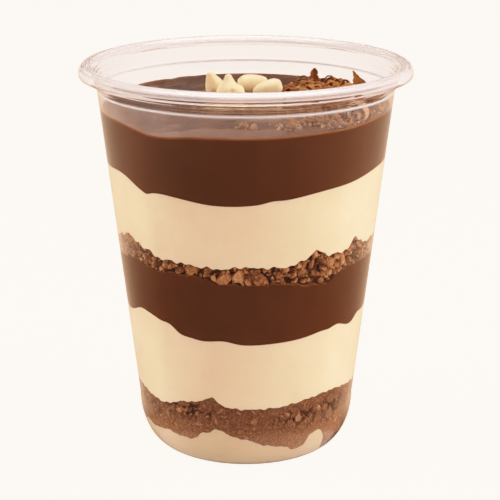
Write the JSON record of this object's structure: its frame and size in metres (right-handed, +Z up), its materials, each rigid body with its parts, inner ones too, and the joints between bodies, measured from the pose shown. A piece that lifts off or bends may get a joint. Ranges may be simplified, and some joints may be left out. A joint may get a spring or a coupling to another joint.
{
  "type": "cup of layered magnolia pudding",
  "caption": "Clear plastic cup filled with layers of chocolate pudding, vanilla cream and crumbs, topped with white drops and shavings.",
  "frame": {"origin": "centre of the ring the cup stands on, at the height of the table", "axes": "+Z up along the cup's axis, -Y towards the front, which is the side the picture shows, +X to its right"},
  "size_m": [0.098, 0.098, 0.117],
  "materials": {
    "clear_plastic": "clear polished thermoformed plastic",
    "chocolate_pudding": "smooth satin chocolate pudding",
    "vanilla_cream": "smooth soft cream",
    "upper_crumb": "coarse crumbs",
    "lower_crumb": "fine moist crumbs",
    "white_chocolate": "satin white chocolate",
    "chocolate_shavings": "dry grainy milk chocolate"
  },
  "bodies": {
    "root": {"cup": "clear_plastic", "bottom_cream": "vanilla_cream", "lower_crumb": "lower_crumb", "lower_cream": "vanilla_cream", "lower_chocolate": "chocolate_pudding", "upper_crumb": "upper_crumb", "upper_cream": "vanilla_cream", "top_chocolate": "chocolate_pudding", "white_drop_1": "white_chocolate", "white_drop_2": "white_chocolate", "white_drop_3": "white_chocolate", "white_drop_4": "white_chocolate", "white_drop_5": "white_chocolate", "shavings": "chocolate_shavings"}
  },
  "joints": []
}
